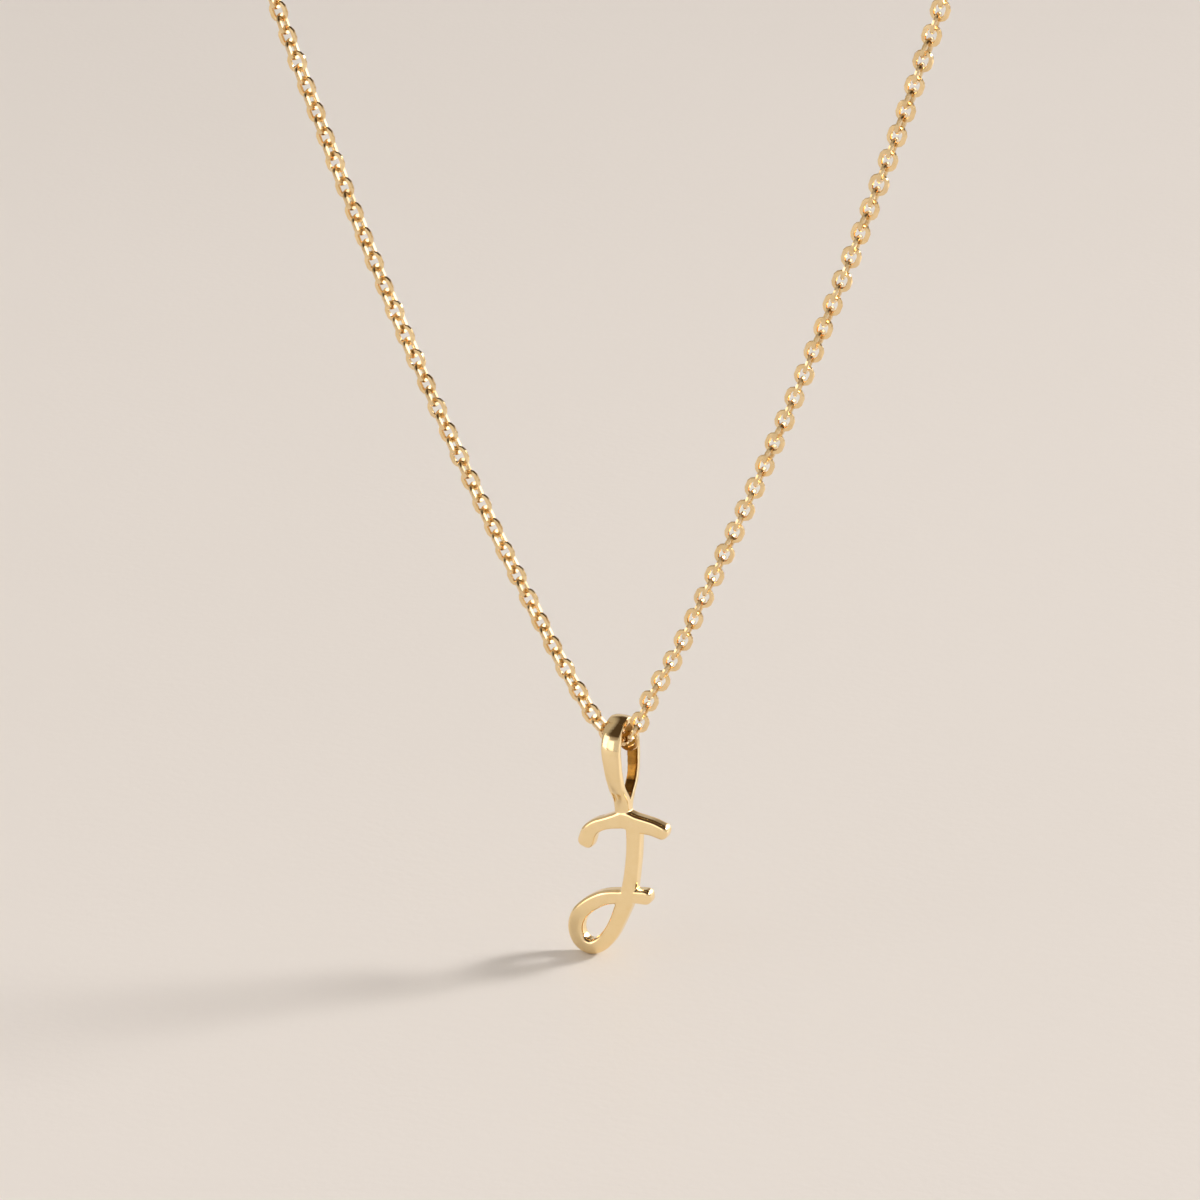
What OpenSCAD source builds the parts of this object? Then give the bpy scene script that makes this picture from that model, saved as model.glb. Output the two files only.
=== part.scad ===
// Initial pendant: a script capital J with a drop-shaped bail, on a fine cable chain
// The necklace hangs in the plane y = 0 and the pendant faces -Y.
// The origin is the centre of the clasp's ring, at the top of the loop.

/* [Letter] */
// Height of the letter, from its foot to the peak of its bar
letter_height = 11.6; // [9:0.1:16]
// Width of the letter, from the loop's left side to the bar's right end
letter_width = 8; // [6:0.1:12]
// Usual width of a stroke of the letter
stroke_width = 1.17; // [0.8:0.01:1.4]
// Thickness of the letter from front to back
letter_thickness = 1.1; // [0.6:0.05:1.6]
// Bevel around the letter's front and back
letter_bevel = 0.2; // [0.05:0.01:0.22]
// Rounding of the two corners at a stroke's end
tip_round = 0.33; // [0.3:0.01:0.4]

/* [Bail] */
// Height of the bail's opening, from its top to its pointed bottom
opening_height = 5.6; // [4.5:0.1:8]
// Depth of the bail's opening, from its front wall to its back wall
opening_depth = 3.3; // [2.8:0.1:4.2]
// Gap between the chain and the bail's round top
bail_slack = 0.95; // [0.8:0.01:1.3]
// Thickness of the bail's wall in the middle of the band
bail_wall = 0.42; // [0.3:0.01:0.6]
// Thickness of the bail's wall along the edges of the band
bail_rim = 0.22; // [0.1:0.01:0.25]
// Width of the bail's band at the top
bail_width = 1.45; // [1:0.05:1.8]
// Width of the bail's band where it meets the letter
bail_foot_width = 1.2; // [0.8:0.05:1.6]
// Solid metal between the opening's point and the letter's bar
tip_wall = 1.07; // [0.5:0.01:1.5]
// How deep the bail's foot goes into the letter's bar
bail_root = 0.5; // [0.3:0.05:0.7]
// How far the bail's foot lies to the right of the letter's middle
foot_shift = 0.11; // [0:0.01:0.3]
// How far the bail leans back to the left on its way up to the chain
bail_lean = 0.19; // [0:0.01:0.4]

/* [Chain] */
// Mean thickness of the chain, where its upright and flat links alternate
chain_width = 0.9; // [0.6:0.05:1.1]

/* [Clasp] */
// Thickness of the clasp's ring
clasp_wire = 1.1; // [0.8:0.05:1.4]
// Outer width of the small loop at each side of the clasp
eyelet_width = 1.7; // [1.5:0.05:2.2]
// Thickness of the small loops
eyelet_wire = 0.45; // [0.3:0.05:0.55]
// Gap between a small loop and the end of the chain
end_gap = 0.1; // [0.05:0.01:0.3]

/* [Hidden] */
gold = "#d9b06c";

// The chain's middle line, as [x, z] in the plane y = 0, from the clasp round to the clasp
ROUTE = [
    [-4.4, -0.2], [-14, -2.1], [-26, -7.8], [-36.5, -17.1], [-43.8, -29.1],
    [-47.2, -42.2], [-46.3, -58], [-42.3, -77.5], [-37.7, -96.8], [-32.5, -116],
    [-26.2, -135.5], [-22.9, -144], [-19.5, -152.4], [-11.6, -169.3], [-7.1, -177.8],
    [-4.5, -182.4], [-2.3, -185.8], [-1.6, -186.6], [-0.9, -187.2], [0, -187.5],
    [0.75, -187.1], [1.35, -186.2], [2.1, -184.4], [4.2, -180.6], [6.4, -176],
    [10.7, -166.5], [14.6, -157.3], [18.1, -148.3], [21.3, -139.6], [24.2, -131],
    [30, -114.7], [36, -95.4], [41.6, -76], [46.3, -58], [47.2, -42.2],
    [43.8, -29.1], [36.5, -17.1], [26, -7.8], [14, -2.1], [4.4, -0.2]
];
// Place in ROUTE of its lowest point, inside the bail
heights = [for (point = ROUTE) point[1]];
lowest = search(min(heights), heights)[0];
ring_spacing = 6.6;
tube_sides = 8;

// The pendant swings about the chain's lowest point
axis_z = ROUTE[lowest][1];
crown_height = chain_width / 2 + bail_slack;
half_depth = opening_depth / 2;
bail_bottom_z = axis_z + crown_height - opening_height;
letter_top_z = bail_bottom_z - tip_wall;

// Letter strokes: [across, share of letter_width; down, share of letter_height;
// breadth, share of stroke_width], along the middle of the stroke
BAR = [
    [-0.339, 0.230, 1.07], [-0.313, 0.179, 1.04], [-0.244, 0.131, 0.92], [-0.150, 0.101, 0.87],
    [-0.050, 0.077, 1.04], [0.031, 0.060, 1.25], [0.131, 0.074, 1.18], [0.231, 0.081, 1.09],
    [0.319, 0.089, 1.03], [0.394, 0.100, 1.00]
];
STEM = [
    [0.126, 0.106, 1.00], [0.125, 0.218, 0.96], [0.118, 0.304, 0.95], [0.106, 0.382, 0.94],
    [0.091, 0.459, 0.96], [0.070, 0.537, 1.00], [0.040, 0.606, 1.04], [-0.008, 0.686, 1.03],
    [-0.044, 0.748, 0.97], [-0.095, 0.821, 0.97], [-0.150, 0.878, 0.98], [-0.218, 0.925, 0.98],
    [-0.303, 0.952, 0.96], [-0.380, 0.939, 0.98], [-0.436, 0.899, 1.00], [-0.459, 0.833, 1.01],
    [-0.421, 0.744, 1.04], [-0.343, 0.682, 1.01], [-0.254, 0.637, 0.99], [-0.156, 0.603, 0.96],
    [-0.068, 0.588, 0.94], [0.031, 0.576, 0.90], [0.131, 0.564, 0.92], [0.226, 0.559, 0.98]
];
pad_spacing = 0.6;
pad_sides = 24;

// Outline of the bail's front half, seen from the side, at the inner face of its wall:
// [depth, share of half_depth; down, share of the height below the swing axis]
BAIL_SIDE = [
    [1.00, 0.00], [0.98, 0.17], [0.92, 0.36], [0.80, 0.52], [0.60, 0.69], [0.36, 0.85], [0.08, 1.00]
];
arc_steps = 10;
side_spacing = 0.7;
bail_sides = 10;

// Smooth line through chosen points: length and heading of its stretches
function span(points, i) = norm(points[i + 1] - points[i]);
function chord(points, i) = (points[i + 1] - points[i]) / span(points, i);
function heading(points, i) =
    i == 0 ? chord(points, 0)
    : i == len(points) - 1 ? chord(points, i - 1)
    : (chord(points, i - 1) * span(points, i) + chord(points, i) * span(points, i - 1))
      / (span(points, i - 1) + span(points, i));

// Point and direction at share u of stretch i
function place(points, i, u) =
    (2 * u * u * u - 3 * u * u + 1) * points[i]
    + (3 * u * u - 2 * u * u * u) * points[i + 1]
    + (u * u * u - 2 * u * u + u) * span(points, i) * heading(points, i)
    + (u * u * u - u * u) * span(points, i) * heading(points, i + 1);
function direction(points, i, u) =
    let (d = 6 * (u * u - u) * (points[i] - points[i + 1])
        + (3 * u * u - 4 * u + 1) * span(points, i) * heading(points, i)
        + (3 * u * u - 2 * u) * span(points, i) * heading(points, i + 1))
    d / norm(d);

// Stations [stretch, share] along the line from point `first` to point `last`
function stations(points, first, last, spacing) = [
    for (i = [first:last - 1])
        let (steps = max(1, round(span(points, i) / spacing)))
            for (k = [0:steps - 1]) [i, k / steps],
    [last - 1, 1]
];

// Faces that close a row of rings of n points each
function side_faces(rings, n) = [
    for (i = [0:rings - 2]) for (k = [0:n - 1])
        [i * n + k, i * n + (k + 1) % n, (i + 1) * n + (k + 1) % n, (i + 1) * n + k]
];
function end_faces(rings, n) = [
    [for (k = [n - 1:-1:0]) k],
    [for (k = [0:n - 1]) (rings - 1) * n + k]
];

// One side of the chain, as a tube along its route
function tube_ring(s) =
    let (p = place(ROUTE, s[0], s[1]), d = direction(ROUTE, s[0], s[1]), r = chain_width / 2)
    [for (k = [0:tube_sides - 1])
        let (a = 360 * (k + 0.5) / tube_sides)
            [p[0] - d[1] * r * cos(a), r * sin(a), p[1] + d[0] * r * cos(a)]];

module chain(first, last) {
    rings = [for (s = stations(ROUTE, first, last, ring_spacing)) tube_ring(s)];
    color(gold)
        polyhedron(
            points = [for (ring = rings) each ring],
            faces = concat(side_faces(len(rings), tube_sides), end_faces(len(rings), tube_sides)));
}

// A round pad with bevelled rims, as thick as the letter, at [across, down, breadth]
module pad(row) {
    r = row[2] * stroke_width / 2;
    translate([row[0] * letter_width, 0, letter_top_z - row[1] * letter_height])
        rotate([90, 0, 0]) {
            cylinder(h = letter_thickness, r = r - letter_bevel, center = true, $fn = pad_sides);
            cylinder(h = letter_thickness - 2 * letter_bevel, r = r, center = true, $fn = pad_sides);
        }
}

// A stroke of the letter: pads joined two by two along a smooth line
function scaled(row) = [row[0] * letter_width, row[1] * letter_height, row[2] * stroke_width];
module stroke(table) {
    real = [for (row = table) scaled(row)];
    rows = [for (s = stations(real, 0, len(real) - 1, pad_spacing))
        let (p = place(real, s[0], s[1]))
            [p[0] / letter_width, p[1] / letter_height, p[2] / stroke_width]];
    for (i = [0:len(rows) - 2])
        hull() {
            pad(rows[i]);
            pad(rows[i + 1]);
        }
    tip(real[0], -direction(real, 0, 0));
    tip(real[len(real) - 1], direction(real, len(real) - 2, 1));
}

// Squared end of a stroke: a small pad at each of its two corners, beyond its last full pad
module tip(spot, way) {
    reach = spot[2] / 2 - tip_round;
    hull() {
        pad([spot[0] / letter_width, spot[1] / letter_height, spot[2] / stroke_width]);
        for (side = [-1, 1])
            pad([
                (spot[0] + reach * (way[0] - side * way[1])) / letter_width,
                (spot[1] + reach * (way[1] + side * way[0])) / letter_height,
                2 * tip_round / stroke_width
            ]);
    }
}

module letter() {
    stroke(BAR);
    stroke(STEM);
}

// The bail's wall in side view, as [depth, height, outward depth, outward height, share down]
drop_height = axis_z - bail_bottom_z;
bail_front = [for (row = BAIL_SIDE) [row[0] * half_depth, -row[1] * drop_height]];
function below(s) =
    let (p = place(bail_front, s[0], s[1]), d = direction(bail_front, s[0], s[1]))
    [p[0], p[1], -d[1], d[0], -p[1] / drop_height];
side_rows = [for (s = stations(bail_front, 0, len(bail_front) - 1, side_spacing)) below(s)];
arc_rows = [for (k = [1:arc_steps - 1])
    let (a = 180 * k / arc_steps, out = [crown_height * cos(a), half_depth * sin(a)])
        [half_depth * cos(a), crown_height * sin(a), out[0] / norm(out), out[1] / norm(out), 0]];
function other_side(row) = [-row[0], row[1], -row[2], row[3], row[4]];
last_row = len(side_rows) - 1;
bail_rows = concat(
    [for (i = [last_row:-1:0]) side_rows[i]],
    arc_rows,
    [for (i = [0:last_row]) other_side(side_rows[i])]);

// Domed cross-section of the band: flat inside, crowned outside
function band_ring(row) =
    let (w = bail_width + (bail_foot_width - bail_width) * row[4])
    [for (k = [0:bail_sides - 1])
        let (
            outer = k < bail_sides - 2,
            a = 180 * k / (bail_sides - 3),
            across = outer ? w / 2 * cos(a) : w / 2 * (k == bail_sides - 2 ? -1 : 1),
            out = outer ? bail_rim + (bail_wall - bail_rim) * sin(a) : 0,
            middle = foot_shift - bail_lean * (1 - row[4]))
            [middle + across, -row[0] - row[2] * out, axis_z + row[1] + row[3] * out]];

module bail() {
    rings = [for (row = bail_rows) band_ring(row)];
    polyhedron(
        points = [for (ring = rings) each ring],
        faces = concat(side_faces(len(rings), bail_sides), end_faces(len(rings), bail_sides)));
    // Solid foot between the opening's point and the letter's bar
    foot_depth = 2 * (BAIL_SIDE[len(BAIL_SIDE) - 1][0] * half_depth + bail_wall);
    hull() {
        translate([foot_shift, 0, bail_bottom_z + bail_wall / 2])
            cube([bail_foot_width - bail_rim, foot_depth - bail_rim, bail_wall], center = true);
        translate([foot_shift, 0, letter_top_z - bail_root])
            cube([bail_foot_width, letter_thickness / 2, bail_root], center = true);
    }
}

module pendant() {
    color(gold)
        union() {
            letter();
            bail();
        }
}

module ring(outer_width, wire) {
    rotate([90, 0, 0])
        rotate_extrude($fn = 64)
            translate([(outer_width - wire) / 2, 0])
                circle(d = wire, $fn = 32);
}

// Plain ring with a small loop soldered on at each side, between the chain's two ends
module clasp() {
    reach = ROUTE[len(ROUTE) - 1][0] - end_gap;
    loop_x = reach - eyelet_width / 2;
    ring_width = 2 * (reach - eyelet_width + eyelet_wire);
    color(gold)
        union() {
            ring(ring_width, clasp_wire);
            for (side = [-1, 1])
                translate([side * loop_x, 0, 0])
                    ring(eyelet_width, eyelet_wire);
        }
}

pendant();
chain(0, lowest);  // chain_left
chain(lowest, len(ROUTE) - 1);  // chain_right
clasp();
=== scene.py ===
"""Initial pendant: a polished script letter J with a drop-shaped bail on a fine cable chain.

The necklace hangs in the plane y = 0 and the letter faces -Y. The pieces are modelled in
millimetres in the part's own frame, with the clasp's ring at the origin, and are brought to
metres at the end.
"""

import logging
import math
import random
from dataclasses import dataclass, field
from enum import Enum
from typing import Callable, Iterable, Mapping, Sequence

import bpy
from bpy.types import Material, Node, NodeSocket, NodeTree, Object
from mathutils import Matrix, Vector


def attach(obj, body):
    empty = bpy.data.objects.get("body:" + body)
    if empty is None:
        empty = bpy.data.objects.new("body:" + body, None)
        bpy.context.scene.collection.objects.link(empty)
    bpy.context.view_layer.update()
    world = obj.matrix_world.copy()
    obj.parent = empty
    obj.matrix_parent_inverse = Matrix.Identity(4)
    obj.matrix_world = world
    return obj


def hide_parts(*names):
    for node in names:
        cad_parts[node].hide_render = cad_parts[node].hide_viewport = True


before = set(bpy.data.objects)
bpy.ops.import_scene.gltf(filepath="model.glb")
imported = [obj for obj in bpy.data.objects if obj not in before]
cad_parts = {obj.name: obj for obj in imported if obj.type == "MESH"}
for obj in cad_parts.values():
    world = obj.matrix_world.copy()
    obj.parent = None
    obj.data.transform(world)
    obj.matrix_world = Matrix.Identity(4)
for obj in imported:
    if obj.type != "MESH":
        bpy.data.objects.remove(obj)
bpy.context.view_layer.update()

LOG = logging.getLogger("initial_pendant")
MM = 0.001
QUARTER = math.pi / 2

# Distances in millimetres: points that are merged, and points that count as being in one place
MERGE_GAP = 0.0005
SAME_PLACE = 0.001
# Height of the chain's lowest point, about which the pendant swings, in millimetres
SWING_AXIS_Z = -187.5
# How far each pass of smoothing moves a point towards its neighbours' middle
SMOOTHING_SHARE = 0.5
# Seed of the small rolls and tilts of the links
LINK_SEED = 11
# Sockets of a Mix node for colours: its two colours and its result
MIX_FIRST, MIX_SECOND, MIX_RESULT = 6, 7, 2

Colour = tuple[float, float, float]
Triple = tuple[float, float, float]
Table = Sequence[tuple[float, ...]]
Feeds = Mapping[str | int, object]


class Axis(Enum):
    """An axis that a section turns about."""

    X = "X"
    Y = "Y"


class LinkKind(Enum):
    """How a link lies: in the plane of the loop, or across it. The value is its roll in degrees."""

    UPRIGHT = 0.0
    ACROSS = 90.0


class Side(Enum):
    """A side of the loop, as the sign of its X."""

    LEFT = -1
    RIGHT = 1


class LampUse(Enum):
    """Whether a lamp lights pale surfaces, is mirrored in polished ones, or both."""

    BOTH = (True, True)
    LIGHTS_ONLY = (True, False)
    MIRRORED_ONLY = (False, True)


# Selection and small tools


def deselect_all() -> None:
    """Deselects every object."""
    bpy.ops.object.select_all(action="DESELECT")


def select_only(piece: Object) -> None:
    """Makes one object the only selected and active one.

    Args:
        piece: Object to select.
    """
    deselect_all()
    piece.select_set(True)
    bpy.context.view_layer.objects.active = piece


def edit_mode() -> None:
    """Goes to edit mode on the active object."""
    bpy.ops.object.mode_set(mode="EDIT")


def object_mode() -> None:
    """Goes back to object mode."""
    bpy.ops.object.mode_set(mode="OBJECT")


def clear_picks(piece: Object) -> None:
    """Deselects all faces, edges and vertices of a piece.

    Args:
        piece: Object whose mesh is cleared.
    """
    edit_mode()
    bpy.ops.mesh.select_all(action="DESELECT")
    object_mode()


def pick_vertices(piece: Object, wanted: Callable[[Vector], bool]) -> None:
    """Selects the vertices whose place passes a test.

    Args:
        piece: Object whose mesh holds the vertices.
        wanted: Test on a vertex's place.
    """
    clear_picks(piece)
    bpy.context.tool_settings.mesh_select_mode = (True, False, False)
    for vertex in piece.data.vertices:
        vertex.select = wanted(vertex.co)


def pick_face(piece: Object, near: Vector) -> None:
    """Selects the face whose centre is nearest to a point.

    Args:
        piece: Object whose mesh holds the face.
        near: Point close to the face's centre.
    """
    clear_picks(piece)
    bpy.context.tool_settings.mesh_select_mode = (False, False, True)
    face = min(piece.data.polygons, key=lambda polygon: (polygon.center - near).length)
    face.select = True


def apply_transform(piece: Object) -> None:
    """Puts an object's place, turn and scale into its mesh."""
    select_only(piece)
    bpy.ops.object.transform_apply(location=True, rotation=True, scale=True)


def apply_modifiers(piece: Object) -> None:
    """Applies an object's modifiers in order.

    Args:
        piece: Object that has the modifiers.
    """
    select_only(piece)
    for modifier in list(piece.modifiers):
        bpy.ops.object.modifier_apply(modifier=modifier.name)


def face_outwards(piece: Object) -> None:
    """Merges doubled vertices and turns all faces outwards.

    Args:
        piece: Closed solid whose faces may point either way.
    """
    select_only(piece)
    edit_mode()
    bpy.ops.mesh.select_all(action="SELECT")
    bpy.ops.mesh.remove_doubles(threshold=MERGE_GAP)
    bpy.ops.mesh.normals_make_consistent(inside=False)
    object_mode()


def join(pieces: Sequence[Object], name: str) -> Object:
    """Joins several objects into one.

    Args:
        pieces: Objects to join, of which the first stays.
        name: Name of the joined object.

    Returns:
        The joined object.
    """
    deselect_all()
    for piece in pieces:
        piece.select_set(True)
    bpy.context.view_layer.objects.active = pieces[0]
    bpy.ops.object.join()
    pieces[0].name = name
    return pieces[0]


def bring_to_metres(piece: Object) -> None:
    """Scales a piece modelled in millimetres to metres about the origin, and applies it.

    Args:
        piece: Object modelled in millimetres.
    """
    apply_transform(piece)
    piece.scale = (MM, MM, MM)
    apply_transform(piece)


def fuse_parts(piece: Object, grain: float, smoothing: int) -> None:
    """Melts overlapping shells into one skin and polishes it.

    Args:
        piece: Object whose shells overlap.
        grain: Size of the cells that the skin is drawn from.
        smoothing: Passes of smoothing, which round the seams and the rims.
    """
    apply_transform(piece)
    fuse = piece.modifiers.new("fuse", "REMESH")
    fuse.mode = "VOXEL"
    fuse.voxel_size = grain
    polish = piece.modifiers.new("polish", "SMOOTH")
    polish.factor = SMOOTHING_SHARE
    polish.iterations = smoothing
    apply_modifiers(piece)
    bpy.ops.object.shade_smooth()


# Smooth lines


@dataclass(frozen=True)
class SmoothLine:
    """A smooth line through chosen points, the same one that the part's source draws."""

    points: tuple[Vector, ...]

    def span(self, i: int) -> float:
        """Length of the straight stretch from point i to the next."""
        return (self.points[i + 1] - self.points[i]).length

    def chord(self, i: int) -> Vector:
        """Direction of the straight stretch from point i to the next."""
        return (self.points[i + 1] - self.points[i]) / self.span(i)

    def heading(self, i: int) -> Vector:
        """Direction of the line at point i.

        Args:
            i: Place of the point in the list.

        Returns:
            The direction, weighted by the lengths of the stretches on both sides.
        """
        if i == 0:
            return self.chord(0)
        if i == len(self.points) - 1:
            return self.chord(i - 1)
        before, after = self.span(i - 1), self.span(i)
        return (self.chord(i - 1) * after + self.chord(i) * before) / (before + after)

    def place(self, i: int, u: float) -> Vector:
        """Point at share u of stretch i.

        Args:
            i: Number of the stretch.
            u: Share of the stretch, from 0 to 1.

        Returns:
            The point on the line.
        """
        u2, u3 = u * u, u * u * u
        reach = self.span(i)
        return (
            (2 * u3 - 3 * u2 + 1) * self.points[i]
            + (3 * u2 - 2 * u3) * self.points[i + 1]
            + (u3 - 2 * u2 + u) * reach * self.heading(i)
            + (u3 - u2) * reach * self.heading(i + 1)
        )

    def direction(self, i: int, u: float) -> Vector:
        """Direction at share u of stretch i.

        Args:
            i: Number of the stretch.
            u: Share of the stretch, from 0 to 1.

        Returns:
            The direction of the line there, of length 1.
        """
        reach = self.span(i)
        slope = (
            6 * (u * u - u) * (self.points[i] - self.points[i + 1])
            + (3 * u * u - 4 * u + 1) * reach * self.heading(i)
            + (3 * u * u - 2 * u) * reach * self.heading(i + 1)
        )
        return slope.normalized()

    def stations(self, spacing: float) -> list[tuple[int, float]]:
        """Evenly spread stations along the line.

        Args:
            spacing: Wanted distance between stations.

        Returns:
            The stations, each as a stretch and a share of it.
        """
        last = len(self.points) - 2
        marks = [
            (i, k / steps)
            for i in range(last + 1)
            for steps in [max(1, round(self.span(i) / spacing))]
            for k in range(steps)
        ]
        return marks + [(last, 1.0)]


# Solids pulled ring by ring


@dataclass(frozen=True)
class SweepRing:
    """One ring of a swept solid: its middle, its angle about the sweep's axis and its two sizes."""

    centre: Vector
    angle: float
    breadth: float
    depth: float


@dataclass(frozen=True)
class Sweep:
    """How a solid is pulled ring by ring out of one flat section, in edit mode.

    The section's breadth lies along `across(angle)` and its depth along `through(angle)`.
    """

    axis: Axis
    across: Callable[[float], Vector]
    through: Callable[[float], Vector]

    def pull(self, rings: Sequence[SweepRing]) -> None:
        """Extrudes the picked face of the active object from the first ring through all the others.

        Args:
            rings: Rings in order, of which the first is the picked face itself.
        """
        edit_mode()
        for before, after in zip(rings, rings[1:]):
            bpy.ops.mesh.extrude_region_move(
                TRANSFORM_OT_translate={"value": after.centre - before.centre}
            )
            # Without a window the operator turns the other way round
            bpy.ops.transform.rotate(
                value=before.angle - after.angle,
                orient_axis=self.axis.value,
                center_override=after.centre,
            )
            across, through = self.across(after.angle), self.through(after.angle)
            frame_axes = Matrix((across, through, across.cross(through))).transposed()
            bpy.ops.transform.resize(
                value=(after.breadth / before.breadth, after.depth / before.depth, 1),
                orient_type="GLOBAL",
                orient_matrix=frame_axes,
                orient_matrix_type="GLOBAL",
                center_override=after.centre,
            )
        object_mode()


# Nodes


def feed_node(tree: NodeTree, node: Node, feeds: Feeds) -> None:
    """Sets or links the input sockets of a node.

    Args:
        tree: Node tree that holds the node.
        node: The node.
        feeds: Names or numbers of sockets, each with its value or the output that feeds it.
    """
    for socket, feed in feeds.items():
        if isinstance(feed, NodeSocket):
            tree.links.new(feed, node.inputs[socket])
        else:
            node.inputs[socket].default_value = feed


def add_node(tree: NodeTree, kind: str, feeds: Feeds | None = None, **settings: object) -> Node:
    """Adds a node with its settings, and then sets or links its input sockets.

    Args:
        tree: Node tree that the node goes into.
        kind: Kind of the node, as the tree names it.
        feeds: Names or numbers of sockets, each with its value or the output that feeds it.
        **settings: The node's own settings, such as its operation.

    Returns:
        The new node.
    """
    node = tree.nodes.new(kind)
    for name, setting in settings.items():
        setattr(node, name, setting)
    feed_node(tree, node, feeds or {})
    return node


def add_noise(
    tree: NodeTree, place: NodeSocket, scale: float, detail: float, roughness: float = 0.5
) -> NodeSocket:
    """Adds a cloudy pattern.

    Args:
        tree: Node tree that the pattern goes into.
        place: Output that gives the place on the surface.
        scale: How fine the pattern is.
        detail: How many finer layers it has.
        roughness: How strongly the finer layers show.

    Returns:
        The pattern's output.
    """
    feeds = {"Vector": place, "Scale": scale, "Detail": detail, "Roughness": roughness}
    return add_node(tree, "ShaderNodeTexNoise", feeds).outputs["Fac"]


def add_tone_mix(tree: NodeTree, share: NodeSocket, first: Colour, second: Colour) -> NodeSocket:
    """Adds a mix of two colours.

    Args:
        tree: Node tree that the mix goes into.
        share: Output that gives the second colour's share.
        first: Colour at share 0.
        second: Colour at share 1.

    Returns:
        The mixed colour's output.
    """
    feeds = {"Factor": share, MIX_FIRST: (*first, 1.0), MIX_SECOND: (*second, 1.0)}
    return add_node(tree, "ShaderNodeMix", feeds, data_type="RGBA").outputs[MIX_RESULT]


# Gold


@dataclass(frozen=True)
class PolishGroup:
    """Shader group of what polishing leaves on metal: faint haze, hairlines and soft waves."""

    name: str = "polish marks"
    haze_scale: float = 1.4
    haze_detail: float = 5.0
    haze_roughness: float = 0.62
    haze_start: float = 0.35
    haze_end: float = 0.68
    wave_scale: float = 0.75
    wave_detail: float = 1.0
    wave_depth: float = 1.0 * MM
    hairline_turn: float = 38.0
    hairline_stretch: Triple = (26.0, 9.0, 1.6)
    hairline_scale: float = 1.0
    hairline_detail: float = 3.0
    hairline_depth: float = 0.1 * MM

    def tree(self) -> NodeTree:
        """Finds the group, or builds it the first time.

        Returns:
            The node group, with its inputs and outputs.
        """
        known = bpy.data.node_groups.get(self.name)
        return known or self.build()

    def build(self) -> NodeTree:
        """Builds the group's sockets and nodes.

        Returns:
            The new node group.
        """
        tree = bpy.data.node_groups.new(self.name, "ShaderNodeTree")
        sockets = tree.interface
        sockets.new_socket(name="Vector", in_out="INPUT", socket_type="NodeSocketVector")
        for name, value in (
            ("Metal Size", 1.0),
            ("Low Roughness", 0.06),
            ("High Roughness", 0.14),
            ("Wave Height", 0.02),
            ("Hairline Height", 0.01),
        ):
            socket = sockets.new_socket(name=name, in_out="INPUT", socket_type="NodeSocketFloat")
            socket.default_value = value
        for name, kind in (("Haze", "Float"), ("Roughness", "Float"), ("Normal", "Vector")):
            sockets.new_socket(name=name, in_out="OUTPUT", socket_type=f"NodeSocket{kind}")
        self.wire(tree)
        return tree

    def wire(self, tree: NodeTree) -> None:
        """Makes and links the group's nodes.

        Args:
            tree: Group that already has its sockets.
        """
        given = add_node(tree, "NodeGroupInput").outputs
        feeds = {"Vector": given["Vector"], "Scale": given["Metal Size"]}
        size = add_node(tree, "ShaderNodeVectorMath", feeds, operation="SCALE").outputs["Vector"]

        haze = add_noise(tree, size, self.haze_scale, self.haze_detail, self.haze_roughness)
        feeds = {"Value": haze, "From Min": self.haze_start, "From Max": self.haze_end}
        spread = add_node(tree, "ShaderNodeMapRange", feeds).outputs["Result"]
        feeds = {"Factor": spread, "A": given["Low Roughness"], "B": given["High Roughness"]}
        rough = add_node(tree, "ShaderNodeMix", feeds, data_type="FLOAT").outputs["Result"]

        wave = add_noise(tree, size, self.wave_scale, self.wave_detail)
        feeds = {"Distance": self.wave_depth, "Strength": given["Wave Height"], "Height": wave}
        soft = add_node(tree, "ShaderNodeBump", feeds).outputs["Normal"]
        turn = (0.0, math.radians(self.hairline_turn), 0.0)
        feeds = {"Vector": size, "Rotation": turn, "Scale": self.hairline_stretch}
        stretch = add_node(tree, "ShaderNodeMapping", feeds).outputs["Vector"]
        feeds = {
            "Distance": self.hairline_depth,
            "Strength": given["Hairline Height"],
            "Height": add_noise(tree, stretch, self.hairline_scale, self.hairline_detail),
            "Normal": soft,
        }
        fine = add_node(tree, "ShaderNodeBump", feeds).outputs["Normal"]
        add_node(tree, "NodeGroupOutput", {"Haze": spread, "Roughness": rough, "Normal": fine})


@dataclass(frozen=True)
class GoldFinish:
    """A polished gold surface: its two tones, its gloss and how much the polishing shows."""

    name: str
    bright: Colour
    deep: Colour
    low_roughness: float
    high_roughness: float
    wave_height: float
    hairline_height: float
    metal_size: float = 1000.0

    def material(self) -> Material:
        """Finds the material, or builds it the first time.

        Returns:
            The finished material.
        """
        known = bpy.data.materials.get(self.name)
        if known:
            return known
        material = bpy.data.materials.new(self.name)
        material.use_nodes = True
        tree = material.node_tree
        feeds = {
            "Vector": add_node(tree, "ShaderNodeTexCoord").outputs["Object"],
            "Metal Size": self.metal_size,
            "Low Roughness": self.low_roughness,
            "High Roughness": self.high_roughness,
            "Wave Height": self.wave_height,
            "Hairline Height": self.hairline_height,
        }
        polish = add_node(tree, "ShaderNodeGroup", feeds, node_tree=PolishGroup().tree()).outputs
        metal = {
            "Metallic": 1.0,
            "Base Color": add_tone_mix(tree, polish["Haze"], self.bright, self.deep),
            "Roughness": polish["Roughness"],
            "Normal": polish["Normal"],
        }
        feed_node(tree, tree.nodes["Principled BSDF"], metal)
        return material

    def dress(self, piece: Object) -> None:
        """Gives a piece this finish in place of what it has."""
        piece.data.materials.clear()
        piece.data.materials.append(self.material())


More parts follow.
